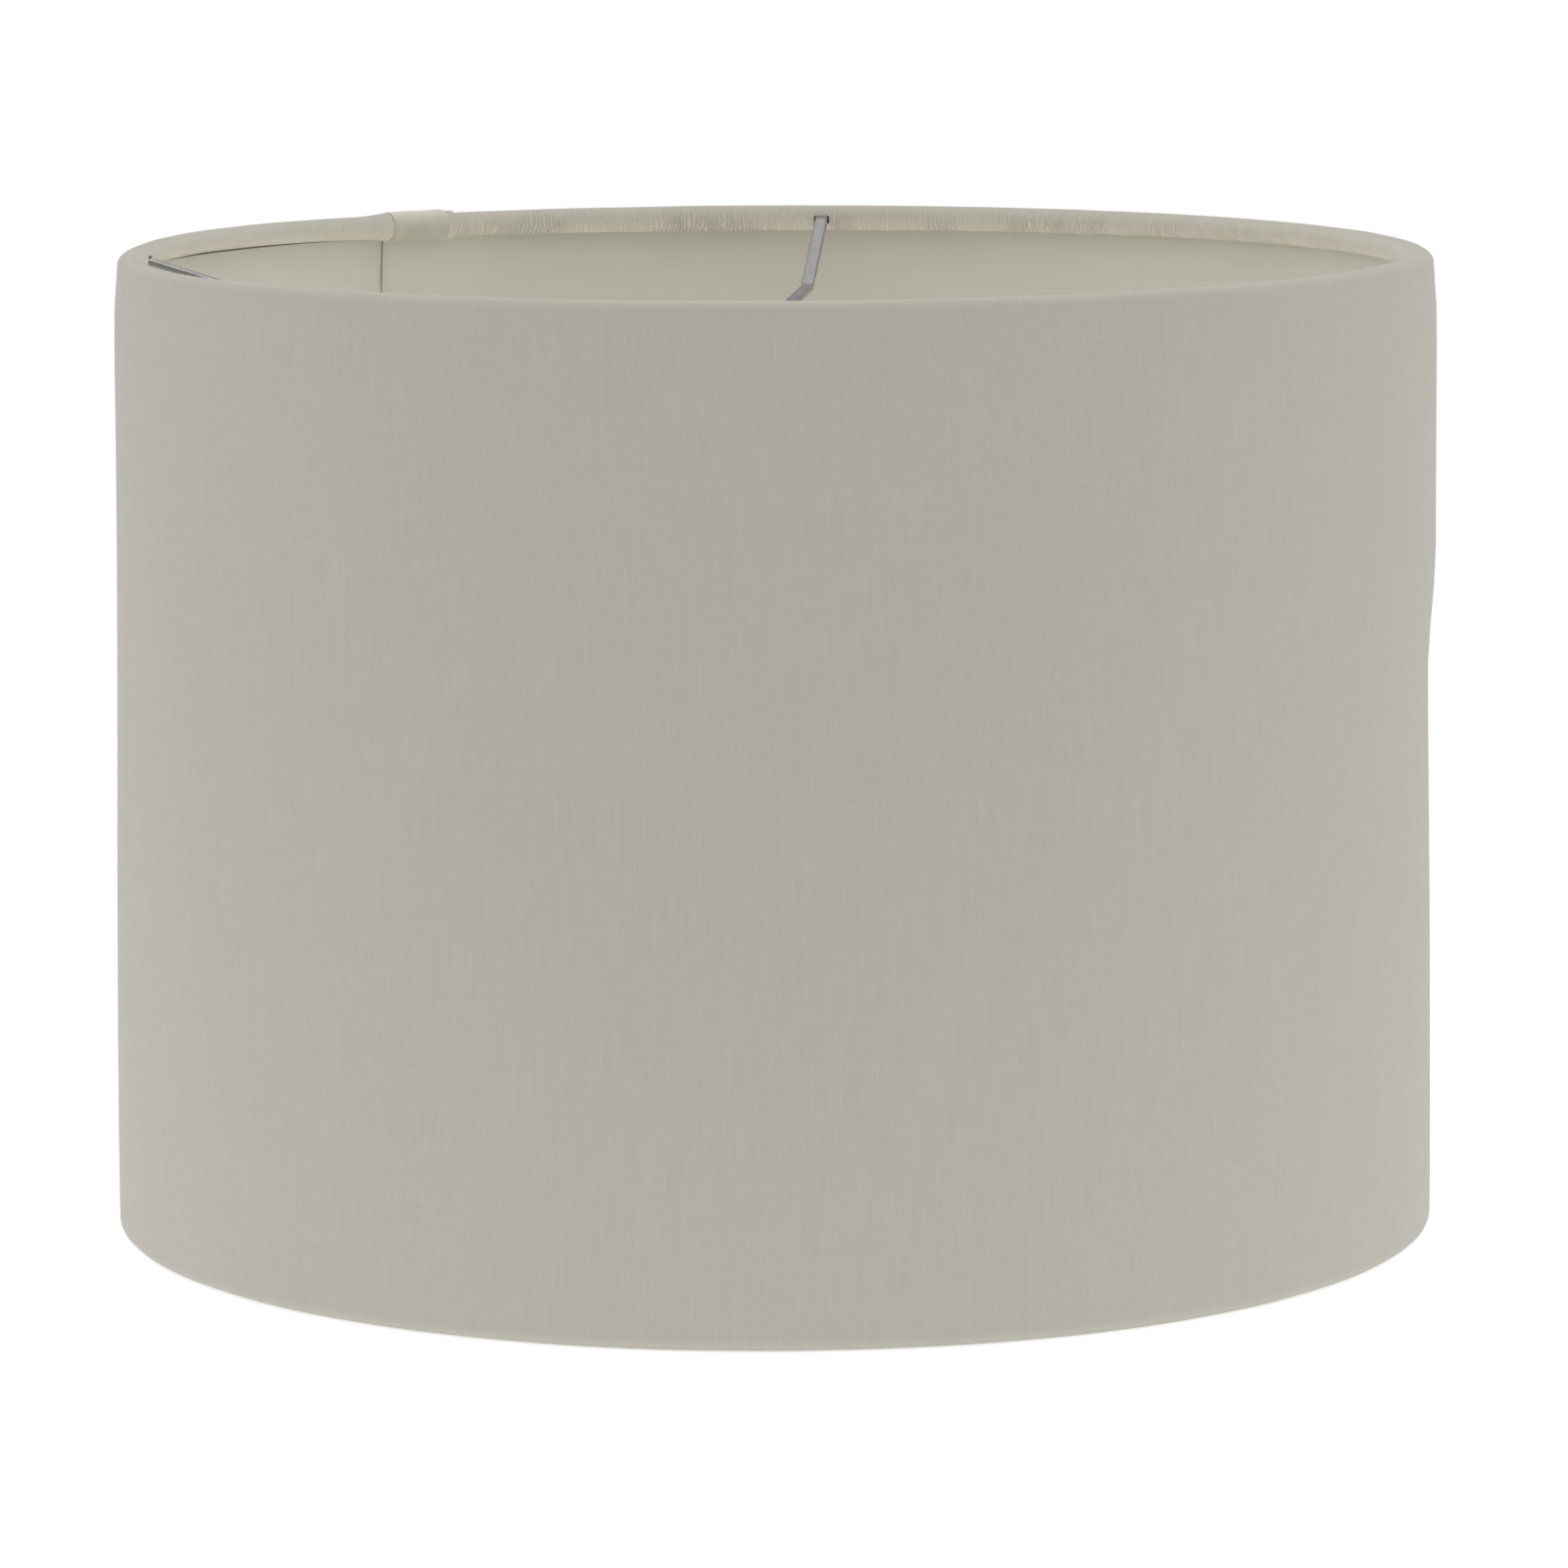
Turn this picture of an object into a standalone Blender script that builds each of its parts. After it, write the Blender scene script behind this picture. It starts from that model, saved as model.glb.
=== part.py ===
"""Drum lamp shade with rolled edges, a laminated hard back and a recessed four-arm fitter.

Metres, +Z up. The shade stands on its lower rim, with the origin on its axis at the height of the
surface that it stands on. The four arms of the fitter lie along +X, +Y, -X and -Y.

Cover cloth and backing sheet are one laminate, wound once round and lapped at a vertical seam. The
cloth is longer than the backing at both ends, and rolls round a wire hoop there.
"""

import math

import bmesh
import bpy

MM = 0.001

# Overall size, over the cloth.
SHADE_DIAMETER = 300 * MM
SHADE_HEIGHT = 225 * MM

# Sheets and clearances.
CLOTH_THICKNESS = 0.5 * MM
BACKING_THICKNESS = 0.4 * MM
TAPE_THICKNESS = 0.2 * MM
GAP = 0.3 * MM  # between two pieces that are bonded or welded

# Hoops.
HOOP_WIRE_DIAMETER = 3.0 * MM
HEM_WRAP_DEGREES = 285  # how far the cloth turns round a hoop, from the wall to its raw edge
HEM_FACET_DEGREES = 30

# Vertical seam, where the laminate laps over its own beginning.
SEAM_DEGREES = 131  # centre of the lap
SEAM_LAP = 19 * MM
SEAM_RAMP = 20 * MM  # where the under layer steps inwards, before the lap
SEAM_TAPE_WIDTH = 12 * MM
HEM_TO_WALL = 6 * MM  # height over which the under layer goes from hoop to wall

# Smooth tab over the top hem, where the lap makes it thicker.
TAB_WIDTH = 16.6 * MM
TAB_THICKNESS = 0.3 * MM
TAB_FROM_DEGREES = 45  # measured as the wrap is
TAB_TO_DEGREES = 255

# Fitter.
ARM_COUNT = 4
ARM_WIDTH = 3.1 * MM
ARM_THICKNESS = 1.5 * MM
ARM_EDGE_RADIUS = 0.45 * MM
ARM_DROP = 13.6 * MM  # from the hoop's centre down to the level part of the arm
ARM_LEVEL_REACH = 100 * MM  # radius at which an arm turns level
ARM_BEND_RADIUS = 7 * MM
FITTER_HOLE_DIAMETER = 42 * MM
FITTER_DIAMETER = 54 * MM
FITTER_PLATE = 1.2 * MM
FITTER_SKIRT = 4.0 * MM  # height of the turned-down edge that the arms are welded to
SLIT_CLEARANCE = 0.4 * MM  # round an arm, where it passes through the hem

# Facets.
TURN_STEPS = 72
FITTER_STEPS = 48
WIRE_SIDES = 12

# Radii and heights that follow.
SHADE_RADIUS = SHADE_DIAMETER / 2
WIRE_RADIUS = HOOP_WIRE_DIAMETER / 2
LAP_INSET_AT_HOOP = CLOTH_THICKNESS + GAP  # one more layer of cloth under the outer one
LAP_INSET_AT_WALL = LAP_INSET_AT_HOOP + BACKING_THICKNESS + GAP + TAPE_THICKNESS + GAP
ROLL_RADIUS = WIRE_RADIUS + GAP + CLOTH_THICKNESS + LAP_INSET_AT_HOOP
HOOP_RADIUS = SHADE_RADIUS - ROLL_RADIUS
TOP_HOOP_Z = SHADE_HEIGHT - ROLL_RADIUS
BOTTOM_HOOP_Z = ROLL_RADIUS
BACKING_RADIUS = SHADE_RADIUS - CLOTH_THICKNESS - GAP
BACKING_MARGIN = ROLL_RADIUS + CLOTH_THICKNESS  # from a hoop's centre to the backing's edge
ARM_Z = TOP_HOOP_Z - ARM_DROP
ARM_START = HOOP_RADIUS - WIRE_RADIUS - GAP
ARM_END = FITTER_DIAMETER / 2 + GAP
FITTER_TOP_Z = ARM_Z + FITTER_SKIRT / 2

# Angles of the seam, in degrees. The lap's outer layer begins at SEAM_START, and the laminate
# ends under it, one turn and a lap further round.
LAP_DEGREES = math.degrees(SEAM_LAP / SHADE_RADIUS)
RAMP_DEGREES = math.degrees(SEAM_RAMP / SHADE_RADIUS)
SEAM_START = SEAM_DEGREES - LAP_DEGREES / 2
LAP_BEGINS = SEAM_START + 360
SEAM_END = LAP_BEGINS + LAP_DEGREES


def make_material(name, colour, roughness, metallic=0.0):
    """A Principled BSDF of one colour."""
    material = bpy.data.materials.new(name)
    material.use_nodes = True
    shader = material.node_tree.nodes["Principled BSDF"]
    shader.inputs["Base Color"].default_value = (*colour, 1)
    shader.inputs["Roughness"].default_value = roughness
    shader.inputs["Metallic"].default_value = metallic
    return material


def add_object(name, mesh, material, smooth_below=40):
    """Links a mesh as a named object and shades it smooth up to an angle in degrees."""
    thing = bpy.data.objects.new(name, mesh)
    bpy.context.scene.collection.objects.link(thing)
    mesh.materials.append(material)
    mesh.shade_smooth()
    mesh.set_sharp_from_angle(angle=math.radians(smooth_below))
    return thing


def loft(name, sections, material):
    """One closed body through a list of sections, each a closed outline with as many points."""
    bm = bmesh.new()
    loops = [[bm.verts.new(point) for point in section] for section in sections]
    count = len(loops[0])
    for near, far in zip(loops, loops[1:]):
        for i in range(count):
            j = (i + 1) % count
            bm.faces.new((near[i], near[j], far[j], far[i]))
    bm.faces.new(loops[0])
    bm.faces.new(loops[-1])
    bmesh.ops.recalc_face_normals(bm, faces=bm.faces)
    mesh = bpy.data.meshes.new(name)
    bm.to_mesh(mesh)
    bm.free()
    return add_object(name, mesh, material)


def around(radius, z, degrees):
    """The point at a radius and height, turned about the shade's axis."""
    angle = math.radians(degrees)
    return (radius * math.cos(angle), radius * math.sin(angle), z)


def turn_angles(start, end):
    """From start to end in degrees, by way of the steps that every turned piece shares."""
    step = 360 / TURN_STEPS
    knots = [start, end]
    if start < LAP_BEGINS - RAMP_DEGREES < end:
        knots.append(LAP_BEGINS - RAMP_DEGREES)
    if start < LAP_BEGINS < end:
        knots.append(LAP_BEGINS)
    apart = step / 8
    shared = [k * step for k in range(math.ceil(start / step), math.floor(end / step) + 1)]
    clear = [angle for angle in shared if all(abs(angle - knot) > apart for knot in knots)]
    return sorted(knots + clear)


def lap_share(degrees):
    """0 where the laminate is the outer layer, rising smoothly to 1 where it is the under one."""
    t = (degrees - (LAP_BEGINS - RAMP_DEGREES)) / RAMP_DEGREES
    t = min(1, max(0, t))
    return t * t * (3 - 2 * t)


def wind(name, outline, start, end, material):
    """Sweeps an outline(degrees), a list of (radius, z), about the axis from start to end."""
    sections = []
    for degrees in turn_angles(start, end):
        sections.append([around(radius, z, degrees) for radius, z in outline(degrees)])
    return loft(name, sections, material)


def hem_arc(hoop_z, side, radius, first, last):
    """Points round a hoop at a radius from its centre, whose facets are tangent to that circle.

    side is 1 at the top hoop and -1 at the bottom one. Angles run from the wall, over the end of
    the shade and round to the inside.
    """
    corner = radius / math.cos(math.radians(HEM_FACET_DEGREES / 2))
    steps = max(1, round((last - first) / HEM_FACET_DEGREES))
    points = []
    for k in range(steps + 1):
        angle = math.radians(first + (last - first) * k / steps)
        points.append(
            (HOOP_RADIUS + corner * math.cos(angle), hoop_z + side * corner * math.sin(angle))
        )
    return points


def cloth_face(depth, wall_inset, hoop_inset):
    """One face of the cloth, from the raw edge at the bottom hem to the one at the top.

    depth is 0 on the outer face and the cloth's thickness on the inner one.
    """
    first = HEM_FACET_DEGREES / 2
    roll = ROLL_RADIUS - hoop_inset - depth
    wall = SHADE_RADIUS - wall_inset - depth
    bottom = hem_arc(BOTTOM_HOOP_Z, -1, roll, first, HEM_WRAP_DEGREES)
    top = hem_arc(TOP_HOOP_Z, 1, roll, first, HEM_WRAP_DEGREES)
    middle = [(wall, BOTTOM_HOOP_Z + HEM_TO_WALL), (wall, TOP_HOOP_Z - HEM_TO_WALL)]
    return bottom[::-1] + middle + top


def cover_outline(degrees):
    """Cross-section of the cloth."""
    share = lap_share(degrees)
    insets = (LAP_INSET_AT_WALL * share, LAP_INSET_AT_HOOP * share)
    return cloth_face(0, *insets) + cloth_face(CLOTH_THICKNESS, *insets)[::-1]


def strip_outline(outer, thickness, margin):
    """Cross-section of an upright strip, with a margin from each hoop's centre to its edge."""
    low, high = BOTTOM_HOOP_Z + margin, TOP_HOOP_Z - margin
    inner = outer - thickness
    return [(outer, low), (outer, high), (inner, high), (inner, low)]


def backing_outline(degrees):
    """Cross-section of the backing sheet, behind the cloth and lapping with it."""
    outer = BACKING_RADIUS - LAP_INSET_AT_WALL * lap_share(degrees)
    return strip_outline(outer, BACKING_THICKNESS, BACKING_MARGIN)


def seam_tape_outline(_degrees):
    """Cross-section of the tape between the lap's two layers."""
    outer = BACKING_RADIUS - BACKING_THICKNESS - GAP
    return strip_outline(outer, TAPE_THICKNESS, HEM_TO_WALL + GAP)


def tab_outline(_degrees):
    """Cross-section of the tab over the top hem."""
    outer = ROLL_RADIUS + GAP + TAB_THICKNESS
    span = (TAB_FROM_DEGREES, TAB_TO_DEGREES)
    over = hem_arc(TOP_HOOP_Z, 1, outer, *span)
    under = hem_arc(TOP_HOOP_Z, 1, outer - TAB_THICKNESS, *span)
    return over + under[::-1]


def build_cover(cloth):
    """The cloth: wall, both rolled hems, and the slits that the arms come through."""
    cover = wind("cover", cover_outline, SEAM_START, SEAM_END, cloth)
    hem_inside = HOOP_RADIUS - ROLL_RADIUS + CLOTH_THICKNESS / 2
    drop_there = arm_slope() * (ARM_START - hem_inside)
    for k in range(ARM_COUNT):
        degrees = k * 360 / ARM_COUNT
        bpy.ops.mesh.primitive_cube_add(
            size=1,
            location=around(hem_inside, TOP_HOOP_Z - drop_there, degrees),
            rotation=(0, 0, math.radians(degrees)),
            scale=(
                3 * CLOTH_THICKNESS,
                ARM_WIDTH + 2 * SLIT_CLEARANCE,
                ARM_THICKNESS + 3 * SLIT_CLEARANCE,
            ),
        )
        cutter = bpy.context.object
        cutter.name = f"slit_cutter_{k + 1}"
        cutter.hide_render = True
        cutter.display_type = "WIRE"
        slit = cover.modifiers.new(f"slit_{k + 1}", "BOOLEAN")
        slit.operation = "DIFFERENCE"
        slit.object = cutter


def build_hoop(name, z, steel):
    """A closed wire hoop."""
    bpy.ops.mesh.primitive_torus_add(
        major_radius=HOOP_RADIUS,
        minor_radius=WIRE_RADIUS,
        major_segments=TURN_STEPS,
        minor_segments=WIRE_SIDES,
        location=(0, 0, z),
    )
    hoop = bpy.context.object
    hoop.name = name
    hoop.data.materials.append(steel)
    hoop.data.shade_smooth()


def arm_slope():
    """Fall of an arm's sloping part, as height lost for each unit of radius."""
    return ARM_DROP / (ARM_START - ARM_LEVEL_REACH)


def arm_centre_line():
    """(radius, z, tilt) along an arm from hoop to fitter. tilt is its fall there, in radians."""
    tilt = math.atan(arm_slope())
    reach = ARM_BEND_RADIUS * math.tan(tilt / 2)
    bend_steps = 4
    line = [(ARM_START, TOP_HOOP_Z, 0)]
    for k in range(bend_steps + 1):
        left = tilt * (1 - k / bend_steps)
        radius = ARM_LEVEL_REACH - reach + ARM_BEND_RADIUS * math.sin(left)
        z = ARM_Z + ARM_BEND_RADIUS * (1 - math.cos(left))
        line.append((radius, z, left))
    line.append((ARM_END, ARM_Z, 0))
    return line


def build_arm(name, degrees, steel):
    """A flat steel arm, sloping down from the hoop and then level to the fitter."""
    half_width, half_thickness = ARM_WIDTH / 2, ARM_THICKNESS / 2
    turn = math.radians(degrees)
    sections = []
    for radius, z, tilt in arm_centre_line():
        section = []
        for side, face in ((-1, -1), (1, -1), (1, 1), (-1, 1)):
            r = radius - face * half_thickness * math.sin(tilt)
            across = side * half_width
            section.append(
                (
                    r * math.cos(turn) - across * math.sin(turn),
                    r * math.sin(turn) + across * math.cos(turn),
                    z + face * half_thickness * math.cos(tilt),
                )
            )
        sections.append(section)
    arm = loft(name, sections, steel)
    rounding = arm.modifiers.new("rolled_edges", "BEVEL")
    rounding.width = ARM_EDGE_RADIUS
    rounding.segments = 2
    rounding.limit_method = "ANGLE"
    rounding.angle_limit = math.radians(60)
    return arm


def build_fitter(steel):
    """The pressed ring that sits on the lampholder: a flat plate with a turned-down skirt."""
    hole, outside = FITTER_HOLE_DIAMETER / 2, FITTER_DIAMETER / 2
    top, low = FITTER_TOP_Z, FITTER_TOP_Z - FITTER_SKIRT
    under = top - FITTER_PLATE
    profile = [
        (outside, top),
        (outside, low),
        (outside - FITTER_PLATE, low),
        (outside - FITTER_PLATE, under),
        (hole, under),
        (hole, top),
    ]
    mesh = bpy.data.meshes.new("fitter_ring")
    corners = [(radius, 0, z) for radius, z in profile]
    edges = [(i, (i + 1) % len(corners)) for i in range(len(corners))]
    mesh.from_pydata(corners, edges, [])
    ring = bpy.data.objects.new("fitter_ring", mesh)
    bpy.context.scene.collection.objects.link(ring)
    mesh.materials.append(steel)
    turned = ring.modifiers.new("turned", "SCREW")
    turned.steps = FITTER_STEPS
    turned.render_steps = FITTER_STEPS
    turned.use_merge_vertices = True
    turned.merge_threshold = 0.00001
    turned.use_smooth_shade = False
    return ring


def main():
    """Builds the shade in an empty scene."""
    for old in list(bpy.data.objects):
        bpy.data.objects.remove(old, do_unlink=True)
    cloth = make_material("cover_cloth", (0.60, 0.57, 0.51), 0.9)
    plastic = make_material("backing_plastic", (0.62, 0.60, 0.52), 0.5)
    tape = make_material("adhesive_tape", (0.75, 0.74, 0.70), 0.4)
    steel = make_material("plated_steel", (0.62, 0.62, 0.64), 0.3, 1.0)

    build_cover(cloth)
    wind("backing_sheet", backing_outline, SEAM_START, SEAM_END, plastic)
    tape_half = math.degrees(SEAM_TAPE_WIDTH / SHADE_RADIUS) / 2
    wind("seam_tape", seam_tape_outline, SEAM_DEGREES - tape_half, SEAM_DEGREES + tape_half, tape)
    tab_end = SEAM_START + LAP_DEGREES
    tab_start = tab_end - math.degrees(TAB_WIDTH / SHADE_RADIUS)
    wind("hem_tab", tab_outline, tab_start, tab_end, plastic)
    build_hoop("top_hoop", TOP_HOOP_Z, steel)
    build_hoop("bottom_hoop", BOTTOM_HOOP_Z, steel)
    for k in range(ARM_COUNT):
        build_arm(f"arm_{k + 1}", k * 360 / ARM_COUNT, steel)
    build_fitter(steel)


main()
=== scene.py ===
"""Looks of a drum lamp shade: woven cloth on a hard backing, rolled hems and a recessed fitter."""

import math

import bpy
import numpy as np
from mathutils import Matrix, Vector, noise


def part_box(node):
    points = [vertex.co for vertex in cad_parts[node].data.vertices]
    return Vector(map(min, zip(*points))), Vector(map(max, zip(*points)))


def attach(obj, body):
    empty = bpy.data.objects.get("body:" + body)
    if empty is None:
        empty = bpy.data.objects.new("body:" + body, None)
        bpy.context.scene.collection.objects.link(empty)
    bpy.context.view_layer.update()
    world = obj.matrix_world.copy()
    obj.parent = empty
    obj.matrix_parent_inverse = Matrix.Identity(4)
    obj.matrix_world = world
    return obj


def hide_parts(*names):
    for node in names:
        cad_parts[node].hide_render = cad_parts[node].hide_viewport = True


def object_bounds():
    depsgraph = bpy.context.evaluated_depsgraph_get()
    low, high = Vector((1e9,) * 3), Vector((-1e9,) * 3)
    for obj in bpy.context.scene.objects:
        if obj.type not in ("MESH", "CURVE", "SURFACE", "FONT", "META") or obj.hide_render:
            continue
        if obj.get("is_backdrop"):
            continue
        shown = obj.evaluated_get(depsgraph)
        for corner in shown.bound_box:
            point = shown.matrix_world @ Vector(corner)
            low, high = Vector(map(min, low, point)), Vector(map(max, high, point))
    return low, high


bl_info = {
    "name": "Drum lamp shade",
    "version": (1, 0, 0),
    "blender": (4, 5, 0),
    "location": "View3D > Sidebar > Shade",
    "description": "Builds the cloth, backing and fitter of a drum lamp shade round its frame",
    "category": "Object",
}

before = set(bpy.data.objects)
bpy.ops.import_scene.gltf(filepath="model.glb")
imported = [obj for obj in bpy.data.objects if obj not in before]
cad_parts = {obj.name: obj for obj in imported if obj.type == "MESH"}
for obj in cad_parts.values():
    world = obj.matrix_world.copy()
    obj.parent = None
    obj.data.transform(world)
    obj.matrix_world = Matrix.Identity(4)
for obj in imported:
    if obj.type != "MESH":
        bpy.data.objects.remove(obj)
frame_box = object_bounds()

MM = 0.001
COVER_LOW, COVER_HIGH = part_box("cover")
HOOP_LOW, HOOP_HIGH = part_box("top_hoop")
BACKING_LOW, BACKING_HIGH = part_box("backing_sheet")
TAPE_LOW, TAPE_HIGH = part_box("seam_tape")
FITTER_LOW, FITTER_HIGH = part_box("fitter_ring")
ARM_LOW, ARM_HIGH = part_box("arm_1")

ARM_COUNT = 4
COLUMN_STEP = 0.75  # degrees between two columns of the wound sheets
HEM_WRAP = 300  # degrees from the wall, over the end of the shade, to the raw edge of the cloth
TOUCH = 0.05 * MM  # between two layers that are bonded
TAPE_THICKNESS = 0.1 * MM
LIFT_FADE = 9 * MM  # length over which the outer layer settles back onto a hoop, past the lap
HEM_BLEND = 6 * MM  # height over which a wall's layers change to lie as they do on the hoops
BACKING_TUCK = 1.4 * MM  # how far the backing reaches behind each roll
SLIT_WRAPS = (163, 215)  # degrees of the top roll's wrap that an arm's slit takes up
TAB_WRAPS = (40, 262)  # degrees of the top roll's wrap that the tab covers
TAB_THICKNESS = 0.28 * MM
TAB_RIDE = 0.32 * MM  # from the cloth's outer face to the tab's
ARM_BEND_RADIUS = 7 * MM
RING_THICKNESS = 1.2 * MM
RING_CORNER = 1.1 * MM
GATHER_PITCH = 1.0 * MM
PRESSED_EDGE = 1.5 * MM  # width of the backing's free edge, pressed down over the cloth's end


class ShadeSizes(bpy.types.PropertyGroup):
    """Sizes of the shade's parts."""

    radius: bpy.props.FloatProperty(
        name="Radius",
        description="Radius of the shade over its cloth",
        default=COVER_HIGH[0],
        unit="LENGTH",
    )
    height: bpy.props.FloatProperty(
        name="Height",
        description="Height of the shade over its hems",
        default=COVER_HIGH[2],
        unit="LENGTH",
    )
    hoop_radius: bpy.props.FloatProperty(
        name="Hoop radius",
        description="Radius of each wire hoop, to the middle of its wire",
        default=(HOOP_HIGH[0] - HOOP_LOW[0] - (HOOP_HIGH[2] - HOOP_LOW[2])) / 2,
        unit="LENGTH",
    )
    cloth: bpy.props.FloatProperty(
        name="Cloth", description="Thickness of the cloth", default=0.5 * MM, unit="LENGTH"
    )
    backing: bpy.props.FloatProperty(
        name="Backing",
        description="Thickness of the backing sheet",
        default=0.4 * MM,
        unit="LENGTH",
    )
    lap_start: bpy.props.FloatProperty(
        name="Lap start",
        description="Where the outer layer of the seam begins, from +X",
        default=math.radians(127.371),
        subtype="ANGLE",
    )
    lap: bpy.props.FloatProperty(
        name="Lap", description="Width of the seam's lap", default=19 * MM, unit="LENGTH"
    )
    ramp: bpy.props.FloatProperty(
        name="Ramp",
        description="Length over which the under layer steps inwards before the lap",
        default=20 * MM,
        unit="LENGTH",
    )
    flare: bpy.props.FloatProperty(
        name="Flare",
        description="How much wider the shade is at its lower rim than at the top",
        default=2.0 * MM,
        unit="LENGTH",
    )
    thread: bpy.props.FloatProperty(
        name="Thread pitch",
        description="Distance between two upright threads of the cloth",
        default=0.98 * MM,
        unit="LENGTH",
    )
    tape_width: bpy.props.FloatProperty(
        name="Tape width",
        description="Width of the tape in the seam",
        default=12 * MM,
        unit="LENGTH",
    )
    tab_width: bpy.props.FloatProperty(
        name="Tab width",
        description="Width of the smooth tab over the top hem",
        default=16.6 * MM,
        unit="LENGTH",
    )
    arm_width: bpy.props.FloatProperty(
        name="Arm width", description="Width of an arm", default=3.1 * MM, unit="LENGTH"
    )
    arm_thickness: bpy.props.FloatProperty(
        name="Arm thickness", description="Thickness of an arm", default=1.5 * MM, unit="LENGTH"
    )
    arm_level_reach: bpy.props.FloatProperty(
        name="Arm bend",
        description="Radius at which an arm turns level",
        default=100 * MM,
        unit="LENGTH",
    )
    hole: bpy.props.FloatProperty(
        name="Fitter hole",
        description="Diameter of the hole for the lampholder",
        default=42 * MM,
        unit="LENGTH",
    )


class ShadeColours(bpy.types.PropertyGroup):
    """Colours of the shade's parts."""

    cloth: bpy.props.FloatVectorProperty(
        name="Cloth",
        description="Colour of the cloth",
        default=(0.470, 0.450, 0.391),
        subtype="COLOR",
    )
    backing: bpy.props.FloatVectorProperty(
        name="Backing",
        description="Colour of the backing sheet",
        default=(0.740, 0.720, 0.640),
        subtype="COLOR",
    )
    tab: bpy.props.FloatVectorProperty(
        name="Tab",
        description="Colour of the tab over the hem",
        default=(0.600, 0.580, 0.495),
        subtype="COLOR",
    )
    steel: bpy.props.FloatVectorProperty(
        name="Steel",
        description="Colour of the plated steel",
        default=(0.380, 0.380, 0.392),
        subtype="COLOR",
    )
    floor: bpy.props.FloatVectorProperty(
        name="Floor", description="Colour of the floor", default=(0.9, 0.9, 0.9), subtype="COLOR"
    )


# Node helpers.


def add_node(tree, kind, inputs=None, **settings):
    """Adds a node. An input is a value, or another node's output to link."""
    node = tree.nodes.new(kind)
    for name, value in settings.items():
        setattr(node, name, value)
    for name, value in (inputs or {}).items():
        if isinstance(value, bpy.types.NodeSocket):
            tree.links.new(value, node.inputs[name])
        else:
            node.inputs[name].default_value = value
    return node


def calc(tree, operation, *values):
    """A Math node's output."""
    return add_node(
        tree, "ShaderNodeMath", dict(enumerate(values)), operation=operation
    ).outputs[0]


def remap(tree, value, low, high, new_low, new_high):
    """A Map Range node's output, clamped."""
    inputs = {"Value": value, "From Min": low, "From Max": high}
    inputs.update({"To Min": new_low, "To Max": new_high})
    return add_node(tree, "ShaderNodeMapRange", inputs).outputs["Result"]


def blend_colours(tree, share, first, second, way="MIX"):
    """A colour Mix node's output. Its inputs 6 and 7, and its output 2, are the colour ones."""
    inputs = {0: share, 6: first, 7: second}
    return add_node(tree, "ShaderNodeMix", inputs, data_type="RGBA", blend_type=way).outputs[2]


def multiply_colours(tree, first, second):
    """The product of two colours."""
    return blend_colours(tree, 1.0, first, second, "MULTIPLY")


def start_group(name, inputs, outputs):
    """A new shader node group and its two end nodes. inputs and outputs are (name, type, default)."""
    tree = bpy.data.node_groups.new(name, "ShaderNodeTree")
    for in_out, sockets in (("INPUT", inputs), ("OUTPUT", outputs)):
        for label, kind, default in sockets:
            socket = tree.interface.new_socket(label, in_out=in_out, socket_type=kind)
            if default is not None:
                socket.default_value = default
    return tree, tree.nodes.new("NodeGroupInput").outputs, tree.nodes.new("NodeGroupOutput").inputs


def place_group(tree, group, inputs):
    """Adds a group node with its values."""
    return add_node(tree, "ShaderNodeGroup", inputs, node_tree=group)


def shade(colour, factor):
    """A colour with its brightness changed, as four numbers."""
    return (colour[0] * factor, colour[1] * factor, colour[2] * factor, 1)


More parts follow.
